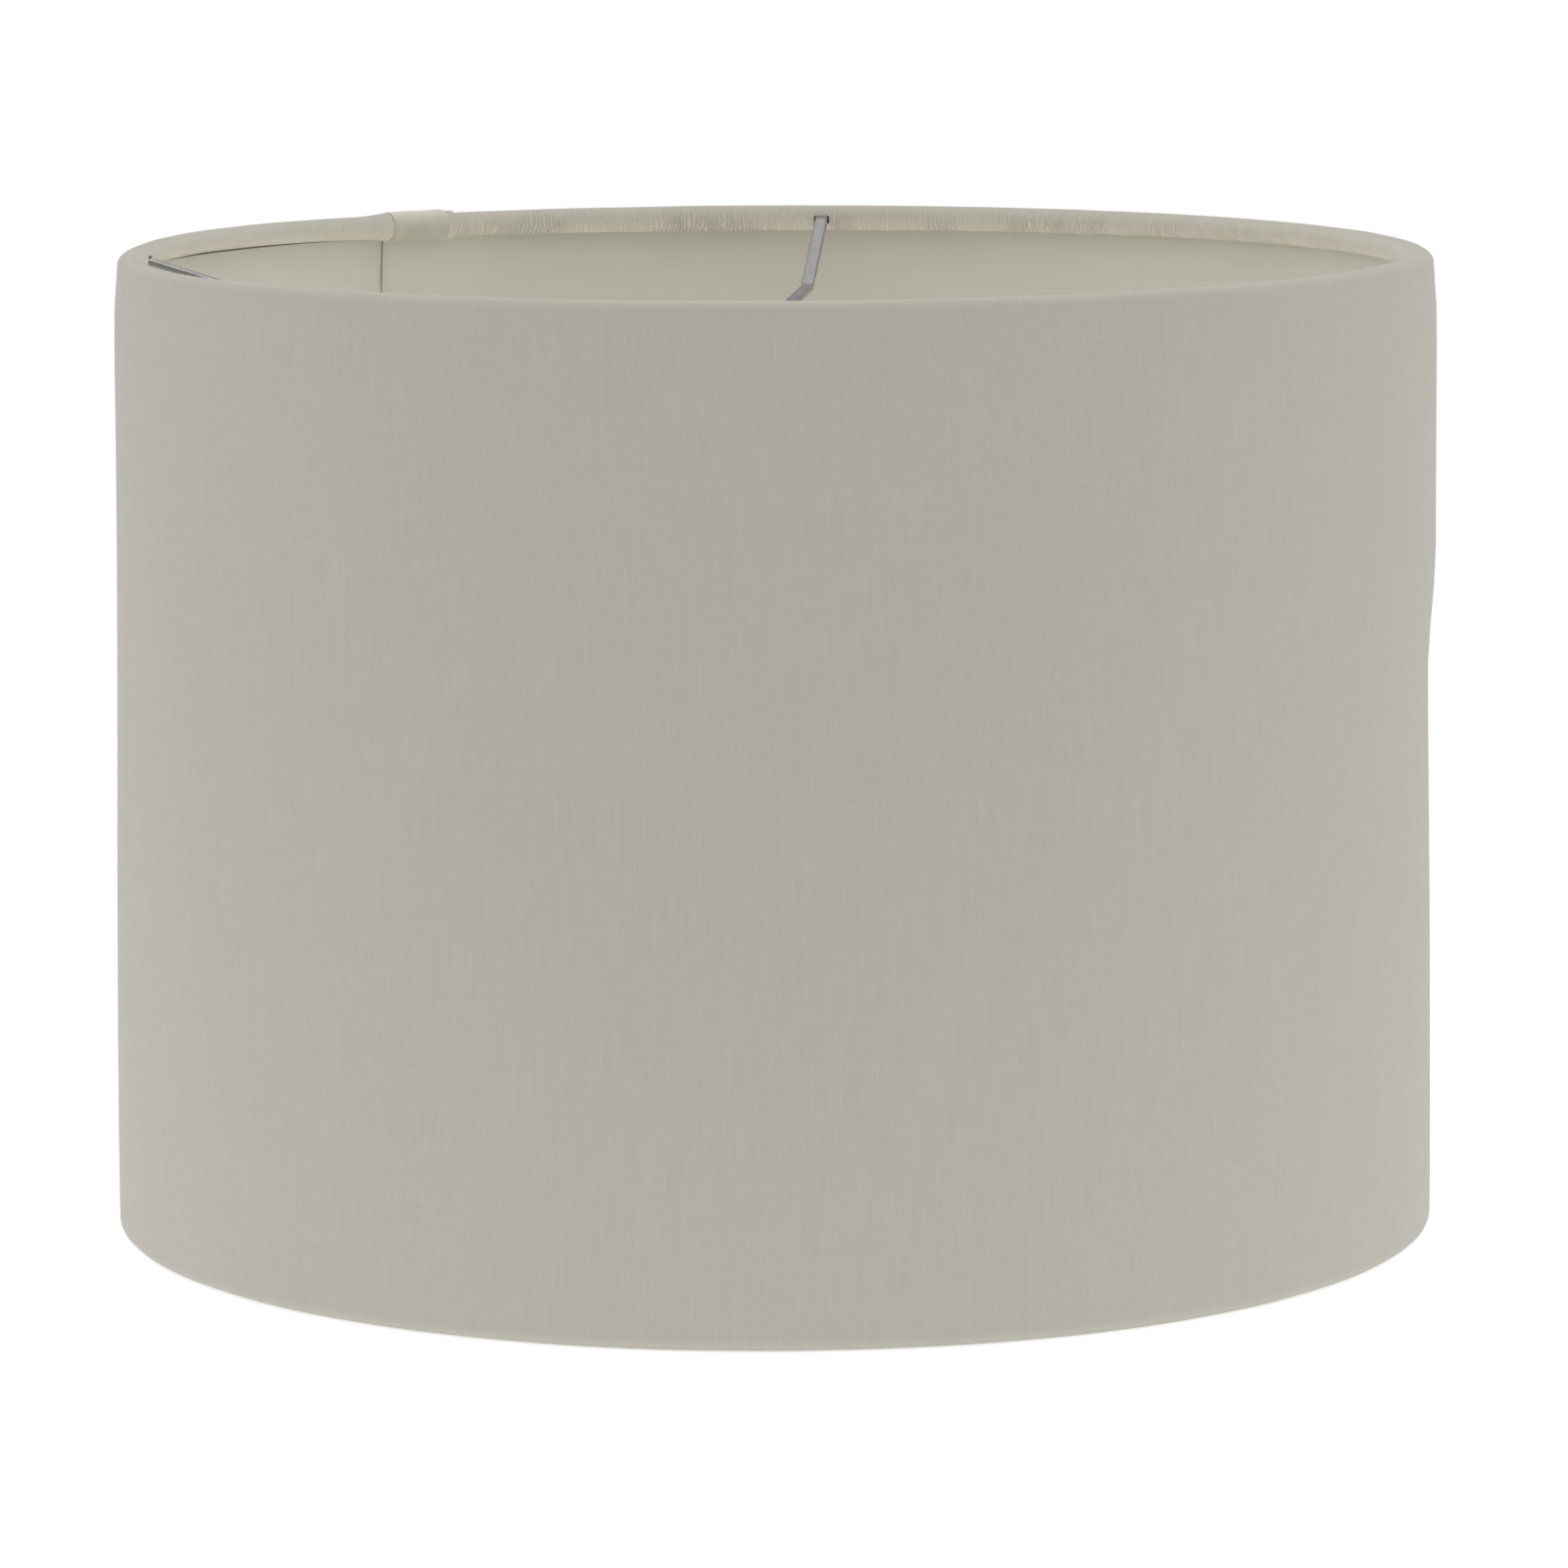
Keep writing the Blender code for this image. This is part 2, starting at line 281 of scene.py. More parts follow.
def weave_group():
    """Plain weave on a flat cut measured in metres: thread height, and thread tone with painted shade
    between the threads and painted light on their crowns.
    """
    if "Plain weave" in bpy.data.node_groups:
        return bpy.data.node_groups["Plain weave"]
    tree, given, out = start_group(
        "Plain weave",
        [
            ("Cut", "NodeSocketVector", None),
            ("Upright Pitch", "NodeSocketFloat", 0.001),
            ("Level Pitch", "NodeSocketFloat", 0.001),
            ("Unevenness", "NodeSocketFloat", 0.5),
        ],
        [("Height", "NodeSocketFloat", None), ("Tone", "NodeSocketFloat", None)],
    )
    place = add_node(tree, "ShaderNodeSeparateXYZ", {0: given["Cut"]}).outputs
    drift = add_node(
        tree,
        "ShaderNodeTexNoise",
        {"Vector": given["Cut"], "Scale": 90.0, "Detail": 2.0},
        noise_dimensions="2D",
    ).outputs["Color"]
    drift = add_node(tree, "ShaderNodeSeparateColor", {0: drift}).outputs
    threads = []
    for axis, pitch, wander in ((0, "Upright Pitch", drift[0]), (1, "Level Pitch", drift[1])):
        wander = calc(tree, "MULTIPLY", calc(tree, "SUBTRACT", wander, 0.5), given["Unevenness"])
        count = calc(tree, "DIVIDE", place[axis], given[pitch])
        threads.append(calc(tree, "ADD", count, calc(tree, "MULTIPLY", wander, 2.2)))
    heights = []
    tones = []
    for own, other, sign, seed in ((0, 1, 1.0, 0.0), (1, 0, -1.0, 41.0)):
        number = calc(tree, "FLOOR", threads[own])
        across = calc(tree, "MULTIPLY", calc(tree, "FRACT", threads[own]), math.pi)
        crown = calc(tree, "POWER", calc(tree, "SINE", across), 0.7)
        along = calc(tree, "ADD", calc(tree, "SUBTRACT", threads[other], 0.5), number)
        wave = calc(tree, "COSINE", calc(tree, "MULTIPLY", along, math.pi))
        wave = calc(tree, "MULTIPLY_ADD", wave, 0.3 * sign, 0.62)
        spot = add_node(
            tree,
            "ShaderNodeCombineXYZ",
            {
                0: calc(tree, "MULTIPLY", number, 3.71),
                1: calc(tree, "MULTIPLY", threads[other], 0.05),
                2: seed,
            },
        ).outputs[0]
        spun = add_node(
            tree,
            "ShaderNodeTexNoise",
            {"Vector": spot, "Scale": 1.0, "Detail": 3.0, "Roughness": 0.62},
        ).outputs["Fac"]
        thick = remap(tree, spun, 0.25, 0.75, 0.72, 1.25)
        heights.append(calc(tree, "MULTIPLY", calc(tree, "MULTIPLY", crown, wave), thick))
        tones.append(calc(tree, "SUBTRACT", spun, 0.5))
    height = calc(tree, "SMOOTH_MAX", heights[0], calc(tree, "MULTIPLY", heights[1], 0.9), 0.12)
    tone = calc(tree, "MULTIPLY_ADD", tones[0], 1.25, calc(tree, "MULTIPLY", tones[1], 0.75))
    # Painted shade and light: the tone is made darker where the threads lie low and lighter on their
    # crowns.
    tone = calc(tree, "ADD", calc(tree, "MULTIPLY", calc(tree, "SUBTRACT", height, 0.6), 0.9), tone)
    tree.links.new(height, out["Height"])
    tree.links.new(calc(tree, "ADD", tone, 0.5), out["Tone"])
    return tree


def mottle_group():
    """Slow and fine variation of tone over a surface."""
    if "Handling" in bpy.data.node_groups:
        return bpy.data.node_groups["Handling"]
    tree, given, out = start_group(
        "Handling",
        [
            ("Place", "NodeSocketVector", None),
            ("Patch Size", "NodeSocketFloat", 0.05),
            ("Speck Size", "NodeSocketFloat", 0.002),
        ],
        [
            ("Patches", "NodeSocketFloat", None),
            ("Specks", "NodeSocketFloat", None),
        ],
    )
    for label, detail, low, high in (("Patch", 3.0, 0.3, 0.7), ("Speck", 2.0, 0.62, 0.74)):
        scale = calc(tree, "DIVIDE", 1.0, given[f"{label} Size"])
        cloud = add_node(
            tree,
            "ShaderNodeTexNoise",
            {"Vector": given["Place"], "Scale": scale, "Detail": detail, "Roughness": 0.55},
        ).outputs["Fac"]
        plural = "Patches" if label == "Patch" else "Specks"
        tree.links.new(remap(tree, cloud, low, high, 0.0, 1.0), out[plural])
    return tree


def start_material(name):
    """A material, its node tree and its Principled BSDF."""
    material = bpy.data.materials.new(name)
    material.use_nodes = True
    return material, material.node_tree, material.node_tree.nodes["Principled BSDF"]


def set_constants(shader, **values):
    """Sets the shader's own sockets. A socket's spaces are underscores here."""
    for name, value in values.items():
        shader.inputs[name.replace("_", " ")].default_value = value


def own_place(tree):
    """Object coordinates, which lie still on every piece."""
    return add_node(tree, "ShaderNodeTexCoord").outputs["Object"]


def gathers_group():
    """Fine uneven gathers across a rolled edge, on a flat cut measured in metres."""
    if "Gathers" in bpy.data.node_groups:
        return bpy.data.node_groups["Gathers"]
    tree, given, out = start_group(
        "Gathers",
        [("Cut", "NodeSocketVector", None), ("Pitch", "NodeSocketFloat", 0.001)],
        [("Height", "NodeSocketFloat", None)],
    )
    drift = add_node(
        tree,
        "ShaderNodeTexNoise",
        {"Vector": given["Cut"], "Scale": 160.0, "Detail": 2.0},
        noise_dimensions="2D",
    ).outputs["Fac"]
    along = add_node(tree, "ShaderNodeSeparateXYZ", {0: given["Cut"]}).outputs[0]
    count = calc(tree, "MULTIPLY_ADD", drift, 3.0, calc(tree, "DIVIDE", along, given["Pitch"]))
    wave = calc(tree, "SINE", calc(tree, "MULTIPLY", count, 2 * math.pi))
    patchy = add_node(
        tree,
        "ShaderNodeTexNoise",
        {"Vector": given["Cut"], "Scale": 55.0, "Detail": 1.0},
        noise_dimensions="2D",
    ).outputs["Fac"]
    depth = remap(tree, patchy, 0.35, 0.6, 0.35, 1.0)
    tree.links.new(calc(tree, "MULTIPLY", wave, depth), out["Height"])
    return tree


THREAD_CONTRAST = 0.032
LEVEL_THREAD_SHARE = 0.86  # pitch of the level threads as a share of the upright ones' pitch
PATCH_TINTS = (1.006, 0.997, 0.992, 1), (0.994, 1.0, 1.0, 1)
GATHER_SHADE_AND_HIGHLIGHT = (0.84, 0.83, 0.82, 1), (1.16, 1.17, 1.18, 1)  # painted shade in a fold, painted highlight on a ridge
ROLL_PAINTED_LIGHT = (1.62, 1.62, 1.6, 1)  # painted light: how much lighter the cloth is drawn inside a roll


def cloth_material(sizes, colours, hem_length, cut_size):
    """Off-white plain-woven cloth with uneven spun threads, gathered inside its rolls, with painted
    light inside the rolls and painted shade and highlight on the gathers.

    hem_length is how much of the cut each roll takes up, from its raw edge, and cut_size is the
    cut's whole length round the shade and from one raw edge to the other.
    """
    material, tree, shader = start_material("cover_cloth")
    cut = add_node(tree, "ShaderNodeUVMap", uv_map="cut").outputs[0]
    weave = place_group(
        tree,
        weave_group(),
        {
            "Cut": cut,
            "Upright Pitch": sizes.thread,
            "Level Pitch": sizes.thread * LEVEL_THREAD_SHARE,
            "Unevenness": 0.55,
        },
    ).outputs
    handling = place_group(
        tree, mottle_group(), {"Place": own_place(tree), "Patch Size": 0.055, "Speck Size": 0.0035}
    ).outputs
    stretched = add_node(tree, "ShaderNodeMapping", {"Vector": cut, "Scale": (1900, 150, 1)})
    slubs = add_node(
        tree,
        "ShaderNodeTexNoise",
        {"Vector": stretched.outputs[0], "Scale": 1.0, "Detail": 2.0, "Roughness": 0.6},
    ).outputs["Fac"]
    tone = calc(tree, "MULTIPLY_ADD", calc(tree, "SUBTRACT", slubs, 0.5), 1.1, weave["Tone"])
    threads = blend_colours(
        tree,
        remap(tree, tone, 0.0, 1.0, 0.0, 1.0),
        shade(colours.cloth, 1 - THREAD_CONTRAST),
        shade(colours.cloth, 1 + THREAD_CONTRAST),
    )
    tint = blend_colours(tree, handling["Patches"], *PATCH_TINTS)
    flat = add_node(tree, "ShaderNodeSeparateXYZ", {0: cut}).outputs
    from_edge = calc(tree, "MINIMUM", flat[1], calc(tree, "SUBTRACT", cut_size[1], flat[1]))
    inside = remap(tree, from_edge, hem_length * 0.3, hem_length * 0.62, 1.0, 0.0)
    gathers = place_group(tree, gathers_group(), {"Cut": cut, "Pitch": GATHER_PITCH}).outputs["Height"]
    late = remap(tree, flat[0], cut_size[0] * 0.6, cut_size[0] * 0.92, 0.3, 1.0)
    gathers = calc(tree, "MULTIPLY", calc(tree, "MULTIPLY", gathers, late), inside)
    # Painted light: the cloth inside each roll is drawn lighter.
    roll_painted_light = blend_colours(tree, inside, (1, 1, 1, 1), ROLL_PAINTED_LIGHT)
    threads = multiply_colours(tree, threads, roll_painted_light)
    # Painted shade and highlight: the cloth is darkened in the gathers' folds and lightened on their
    # ridges.
    fold_shading = remap(tree, gathers, -1.0, 1.0, 0.0, 1.0)
    threads = multiply_colours(tree, threads, blend_colours(tree, fold_shading, *GATHER_SHADE_AND_HIGHLIGHT))
    tree.links.new(multiply_colours(tree, threads, tint), shader.inputs["Base Color"])
    tree.links.new(remap(tree, weave["Height"], 0.0, 1.0, 0.97, 0.84), shader.inputs["Roughness"])
    relief = calc(tree, "MULTIPLY_ADD", slubs, 0.3, weave["Height"])
    bump = add_node(
        tree, "ShaderNodeBump", {"Height": relief, "Strength": 0.22, "Distance": 0.00014}
    )
    ribbed = add_node(
        tree,
        "ShaderNodeBump",
        {"Height": gathers, "Strength": 0.9, "Distance": 0.00019, "Normal": bump.outputs[0]},
    )
    tree.links.new(ribbed.outputs[0], shader.inputs["Normal"])
    set_constants(shader, Sheen_Weight=0.1, Sheen_Roughness=0.6, Specular_IOR_Level=0.25)
    return material


def backing_material(colours, cut_width):
    """Smooth off-white plastic sheet, faintly rolled, with glue and painted shade along its free edge.

    cut_width is the sheet's length round the shade.
    """
    material, tree, shader = start_material("backing_plastic")
    cut = add_node(tree, "ShaderNodeUVMap", uv_map="cut").outputs[0]
    handling = place_group(
        tree, mottle_group(), {"Place": own_place(tree), "Patch Size": 0.06, "Speck Size": 0.004}
    ).outputs
    sheet = blend_colours(
        tree, handling["Patches"], shade(colours.backing, 0.97), shade(colours.backing, 1.025)
    )
    marks = (colours.backing[0] * 0.9, colours.backing[1] * 0.87, colours.backing[2] * 0.8, 1)
    marked = blend_colours(tree, calc(tree, "MULTIPLY", handling["Specks"], 0.15), sheet, marks)
    # Glue and painted shade: the sheet's free edge and its end are drawn darker and browner.
    glue_and_shade = (colours.backing[0] * 0.86, colours.backing[1] * 0.78, colours.backing[2] * 0.66, 1)
    along = add_node(tree, "ShaderNodeSeparateXYZ", {0: cut}).outputs[0]
    at_edge = remap(tree, along, cut_width - 0.2 * MM, cut_width - 0.05 * MM, 0.0, 0.8)
    tree.links.new(blend_colours(tree, at_edge, marked, glue_and_shade), shader.inputs["Base Color"])
    drawn = add_node(tree, "ShaderNodeMapping", {"Vector": cut, "Scale": (1, 0.25, 1)})
    rolled = add_node(
        tree, "ShaderNodeTexNoise", {"Vector": drawn.outputs[0], "Scale": 110.0, "Detail": 2.0}
    ).outputs["Fac"]
    weave = place_group(
        tree,
        weave_group(),
        {"Cut": cut, "Upright Pitch": 0.0012, "Level Pitch": 0.0011, "Unevenness": 0.5},
    ).outputs
    relief = calc(tree, "MULTIPLY_ADD", weave["Height"], 0.05, calc(tree, "MULTIPLY", rolled, 0.9))
    bump = add_node(tree, "ShaderNodeBump", {"Height": relief, "Strength": 0.3, "Distance": 0.0002})
    tree.links.new(bump.outputs[0], shader.inputs["Normal"])
    tree.links.new(remap(tree, handling["Patches"], 0.0, 1.0, 0.5, 0.6), shader.inputs["Roughness"])
    return material


def tab_material(colours):
    """Smooth off-white strip with a slight sheen and creases across it."""
    material, tree, shader = start_material("tab_plastic")
    place = own_place(tree)
    handling = place_group(
        tree, mottle_group(), {"Place": place, "Patch Size": 0.006, "Speck Size": 0.0012}
    ).outputs
    tree.links.new(
        blend_colours(tree, handling["Patches"], shade(colours.tab, 0.93), shade(colours.tab, 1.04)),
        shader.inputs["Base Color"],
    )
    tree.links.new(remap(tree, handling["Patches"], 0.0, 1.0, 0.5, 0.66), shader.inputs["Roughness"])
    crease = add_node(
        tree, "ShaderNodeTexNoise", {"Vector": place, "Scale": 420.0, "Detail": 3.0}
    ).outputs["Fac"]
    bump = add_node(tree, "ShaderNodeBump", {"Height": crease, "Strength": 0.3, "Distance": 0.0003})
    tree.links.new(bump.outputs[0], shader.inputs["Normal"])
    return material


def steel_material(name, colour, dull, polished):
    """Zinc-plated steel with drawing marks, fine spangle and duller patches."""
    material, tree, shader = start_material(name)
    place = own_place(tree)
    handling = place_group(
        tree, mottle_group(), {"Place": place, "Patch Size": 0.004, "Speck Size": 0.0009}
    ).outputs
    tone = blend_colours(tree, handling["Patches"], shade(colour, 0.86), shade(colour, 1.06))
    dark = (colour[0] * 0.5, colour[1] * 0.48, colour[2] * 0.45, 1)
    tree.links.new(
        blend_colours(tree, calc(tree, "MULTIPLY", handling["Specks"], 0.5), tone, dark),
        shader.inputs["Base Color"],
    )
    roughness = remap(tree, handling["Patches"], 0.0, 1.0, dull, polished)
    tree.links.new(roughness, shader.inputs["Roughness"])
    grain = add_node(
        tree, "ShaderNodeTexNoise", {"Vector": place, "Scale": 2600.0, "Detail": 2.0}
    ).outputs["Fac"]
    bump = add_node(tree, "ShaderNodeBump", {"Height": grain, "Strength": 0.2, "Distance": 0.00005})
    tree.links.new(bump.outputs[0], shader.inputs["Normal"])
    set_constants(shader, Metallic=1.0)
    return material


def tape_material():
    """Clear-white adhesive tape, hidden in the seam."""
    material, tree, shader = start_material("adhesive_tape")
    handling = place_group(
        tree, mottle_group(), {"Place": own_place(tree), "Patch Size": 0.01, "Speck Size": 0.002}
    ).outputs
    tree.links.new(
        blend_colours(tree, handling["Patches"], (0.68, 0.67, 0.62, 1), (0.76, 0.75, 0.71, 1)),
        shader.inputs["Base Color"],
    )
    tree.links.new(remap(tree, handling["Specks"], 0.0, 1.0, 0.35, 0.5), shader.inputs["Roughness"])
    return material


# Mesh helpers.


def deselect_all():
    """Leaves object mode with nothing selected."""
    if bpy.context.object and bpy.context.object.mode != "OBJECT":
        bpy.ops.object.mode_set(mode="OBJECT")
    bpy.ops.object.select_all(action="DESELECT")


def take(name):
    """Names the active object and its mesh, and returns it."""
    thing = bpy.context.object
    thing.name = name
    thing.data.name = name
    return thing


def apply_modifiers(thing):
    """Applies every modifier, so that the shape is in the mesh."""
    deselect_all()
    bpy.context.view_layer.objects.active = thing
    thing.select_set(True)
    for modifier in list(thing.modifiers):
        bpy.ops.object.modifier_apply(modifier=modifier.name)


def settle(thing, replaces, material, angle=40):
    """Places the object's transform in its mesh, shades it and ties it to the frame."""
    deselect_all()
    bpy.context.view_layer.objects.active = thing
    thing.select_set(True)
    bpy.ops.object.transform_apply(location=True, rotation=True, scale=True)
    bpy.ops.object.shade_smooth_by_angle(angle=math.radians(angle))
    thing.data.materials.clear()
    thing.data.materials.append(material)
    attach(thing, "root")
    if replaces:
        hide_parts(*replaces)


def wander(x, y, seed):
    """Smooth repeatable noise between about -1 and 1."""
    return noise.noise(Vector((x, y, seed * 17.3)))


def ease(t):
    """0 to 1 with a smooth start and end, clamped."""
    t = min(1, max(0, t))
    return t * t * (3 - 2 * t)


def turned_from(angle, degrees):
    """How far an angle is from a direction given in degrees, from -180 to 180 degrees."""
    return (math.degrees(angle) - degrees + 180) % 360 - 180


def lap_share(sizes, angle):
    """0 where the sheet is the outer layer, rising to 1 where it runs under its own start."""
    begins = sizes.lap_start + 2 * math.pi
    return ease((angle - begins) / (sizes.ramp / sizes.radius) + 1)


def lap_inset(sizes, angle):
    """How far a sheet's under layer lies inside its outer one on the wall."""
    return (sizes.cloth + sizes.backing + TAPE_THICKNESS + 3 * TOUCH) * lap_share(sizes, angle)


def lap_lift(sizes, angle):
    """How far the outer layer rides up over the under one, on a hoop."""
    past = (angle - sizes.lap_start) * sizes.radius
    return (sizes.cloth + TOUCH) * (1 - ease((past - sizes.lap) / LIFT_FADE))


def column_angles(sizes, short=0.0):
    """Where the columns of a wound sheet lie, which ends short of the lap's free edge."""
    step = math.radians(COLUMN_STEP)
    start = sizes.lap_start
    end = start + 2 * math.pi + (sizes.lap - short) / sizes.radius
    inside = [k * step for k in range(math.ceil(start / step + 0.3), math.floor(end / step - 0.3) + 1)]
    if not short:
        pressed = [end - off * PRESSED_EDGE / sizes.radius for off in (1.0, 0.66, 0.33)]
        inside = [angle for angle in inside if angle < pressed[0] - 0.3 * step] + pressed
    return [start, *inside, end]


def wall_shift(sizes, angle, z):
    """How far the wall stands off a true cylinder at an angle and height."""
    up = z / sizes.height
    shift = sizes.flare * (1 - ease(up / 0.85)) + 0.3 * MM
    swelling = ease((z - 0.128) / (30 * MM)) * math.exp(-((turned_from(angle, 2) / 34) ** 2))
    shift += 1.9 * MM * swelling
    drawn_in = math.exp(-((sizes.height - z) / (9 * MM)) ** 2)
    shift -= 0.9 * MM * drawn_in
    turn_x, turn_y = math.cos(angle), math.sin(angle)
    slow = noise.noise(Vector((turn_x * 1.6, turn_y * 1.6, up * 1.4)))
    fine = noise.noise(Vector((turn_x * 9, turn_y * 9, up * 3 + 20)))
    return shift + slow * 0.35 * MM + fine * 0.12 * MM


def place_at(radius, z, angle):
    """A point at a radius, height and angle."""
    return (radius * math.cos(angle), radius * math.sin(angle), z)


def wind_grid(name, angles, levels, place):
    """A flat grid, cut to columns and levels, whose points place(angle, level) then moves.

    levels are distances across the cut, in metres. The UV map holds the flat cut, in metres.
    """
    deselect_all()
    columns, rows = len(angles), len(levels)
    bpy.ops.mesh.primitive_grid_add(
        x_subdivisions=columns - 1, y_subdivisions=rows - 1, size=1, calc_uvs=True
    )
    sheet = take(name)
    mesh = sheet.data
    points = np.empty(len(mesh.vertices) * 3)
    mesh.vertices.foreach_get("co", points)
    points = points.reshape(-1, 3)
    column = np.rint((points[:, 0] + 0.5) * (columns - 1)).astype(int)
    row = np.rint((points[:, 1] + 0.5) * (rows - 1)).astype(int)
    for i in range(len(points)):
        points[i] = place(angles[column[i]], row[i])
    mesh.vertices.foreach_set("co", points.ravel())
    mesh.uv_layers[0].name = "cut"
    corner = np.empty(len(mesh.loops), dtype=np.int32)
    mesh.loops.foreach_get("vertex_index", corner)
    radius = bpy.context.scene.shade_sizes.radius
    along = (np.array(angles) - angles[0]) * radius
    across = np.array(levels)
    cut = np.stack([along[column[corner]], across[row[corner]]], axis=1)
    mesh.uv_layers[0].data.foreach_set("uv", cut.ravel())
    mesh.update()
    return sheet, column, row


def thicken(sheet, thickness, offset):
    """Gives a sheet its thickness."""
    solid = sheet.modifiers.new("thickness", "SOLIDIFY")
    solid.thickness = thickness
    solid.offset = offset
    solid.use_even_offset = True
    apply_modifiers(sheet)


def cloth_profile(sizes, arc_steps, bottom_steps, wall_steps):
    """The cloth's cross-section: (part, number) pairs from bottom raw edge to top raw edge.

    part is "bottom", "wall" or "top". The number is a wrap angle in degrees, or a share of the
    wall's height.
    """
    spots = [("bottom", HEM_WRAP * (1 - k / bottom_steps)) for k in range(bottom_steps + 1)]
    spots += [("wall", k / wall_steps) for k in range(1, wall_steps)]
    spots += [("top", HEM_WRAP * k / arc_steps) for k in range(arc_steps + 1)]
    return spots


def hem_half_height(sizes, angle):
    """Half the height of the top roll, which is lower where the cloth was pulled tighter."""
    roll = sizes.radius - sizes.hoop_radius
    slack = math.exp(-((turned_from(angle, 96) / 42) ** 2))
    return roll - 0.42 * MM * (1 - slack) - 0.25 * rim_rise(angle)


def rim_rise(angle):
    """How far the top rim stands above its nominal height, at the side where it isn't level."""
    return 0.6 * MM * math.exp(-((turned_from(angle, 158) / 24) ** 2))


def hem_point(sizes, angle, wrap, side, lift=0.0):
    """(radius, z) on a hem's roll, with the unevenness of turned cloth.

    wrap runs in degrees from the wall over the end of the shade. side is 1 at the top. lift is
    added to the roll's size.
    """
    roll = sizes.radius - sizes.hoop_radius
    half = hem_half_height(sizes, angle) if side > 0 else roll + lift
    end = sizes.height + rim_rise(angle) if side > 0 else 0.0
    centre = end - side * half
    shift = wall_shift(sizes, angle, centre)
    inner = ease((wrap - 100) / 90)
    arc = angle * sizes.radius
    lumps = wander(arc * 55, wrap * 0.012, side + 3) * 0.14 * MM
    puckers = wander(arc * 260, wrap * 0.01, side + 5) * 0.12 * MM * inner
    across = roll + shift / 2 + lumps + puckers + lift
    upright = half + lumps * 0.5 + (lift if side > 0 else 0.0)
    turn = math.radians(wrap)
    radius = sizes.hoop_radius + shift / 2 + across * math.cos(turn)
    return radius, centre + side * upright * math.sin(turn)


class SHADE_OT_cover(bpy.types.Operator):
    """Cloth wound round the shade, rolled over both hoops and slit for the arms"""

    bl_idname = "shade.cover"
    bl_label = "Cover cloth"

    def execute(self, context):
        sizes, colours = context.scene.shade_sizes, context.scene.shade_colours
        roll = sizes.radius - sizes.hoop_radius
        low, high = roll, sizes.height - roll
        spots = cloth_profile(sizes, 32, 22, 24)
        levels = []
        for part, number in spots:
            if part == "bottom":
                levels.append(roll * math.radians(HEM_WRAP - number))
            elif part == "wall":
                levels.append(roll * math.radians(HEM_WRAP) + (high - low) * number)
            else:
                levels.append(roll * math.radians(HEM_WRAP) + high - low + roll * math.radians(number))
        angles = column_angles(sizes, PRESSED_EDGE + 0.1 * MM)

        def place(angle, row):
            part, number = spots[row]
            if part == "wall":
                z = low + (high - low) * number
                clear = ease(min(number, 1 - number) * (high - low) / HEM_BLEND)
                off = (1 - clear) * lap_lift(sizes, angle) - clear * lap_inset(sizes, angle)
                return place_at(sizes.radius + off + wall_shift(sizes, angle, z), z, angle)
            side = 1 if part == "top" else -1
            radius, z = hem_point(sizes, angle, number, side, lap_lift(sizes, angle))
            return place_at(radius, z, angle)

        cover, column, row = wind_grid("cover_cloth", angles, levels, place)
        self.cut_slits(cover, angles, spots, column, row)
        thicken(cover, sizes.cloth, -1)
        width = (angles[-1] - angles[0]) * sizes.radius
        cloth = cloth_material(sizes, colours, roll * math.radians(HEM_WRAP), (width, levels[-1]))
        settle(cover, ["cover"], cloth, 60)
        return {"FINISHED"}

    def cut_slits(self, cover, angles, spots, column, row):
        """Deletes the faces where an arm comes through the top hem."""
        half = math.radians(COLUMN_STEP * 1.01)
        bpy.ops.object.mode_set(mode="EDIT")
        bpy.ops.mesh.select_mode(type="FACE")
        bpy.ops.mesh.select_all(action="DESELECT")
        bpy.ops.object.mode_set(mode="OBJECT")
        for face in cover.data.polygons:
            turn = [angles[column[v]] for v in face.vertices]
            wraps = [spots[row[v]] for v in face.vertices]
            if any(part != "top" for part, _ in wraps):
                continue
            if min(w for _, w in wraps) < SLIT_WRAPS[0] or max(w for _, w in wraps) > SLIT_WRAPS[1]:
                continue
            between = 2 * math.pi / ARM_COUNT
            near = [(a + math.pi / ARM_COUNT) % between - math.pi / ARM_COUNT for a in turn]
            face.select = max(abs(a) for a in near) < half
        bpy.ops.object.mode_set(mode="EDIT")
        bpy.ops.mesh.delete(type="FACE")
        bpy.ops.object.mode_set(mode="OBJECT")


class SHADE_OT_backing(bpy.types.Operator):
    """Hard plastic sheet behind the cloth, lapped with it at the seam"""

    bl_idname = "shade.backing"
    bl_label = "Backing sheet"

    def execute(self, context):
        sizes, colours = context.scene.shade_sizes, context.scene.shade_colours
        low, high = BACKING_LOW[2] - BACKING_TUCK, BACKING_HIGH[2] + BACKING_TUCK
        rows = 24
        levels = [(high - low) * k / rows for k in range(rows + 1)]
        angles = column_angles(sizes)

        def place(angle, row):
            z = low + levels[row]
            inset = sizes.cloth + TOUCH + lap_inset(sizes, angle)
            left = (angles[-1] - angle) * sizes.radius
            inset -= (sizes.cloth + 2 * TOUCH) * ease(1.15 * (1 - left / PRESSED_EDGE))
            return place_at(sizes.radius - inset + wall_shift(sizes, angle, z), z, angle)

        backing, _, _ = wind_grid("backing_plastic", angles, levels, place)
        thicken(backing, sizes.backing, -1)
        plastic = backing_material(colours, (angles[-1] - angles[0]) * sizes.radius)
        settle(backing, ["backing_sheet"], plastic, 40)
        return {"FINISHED"}


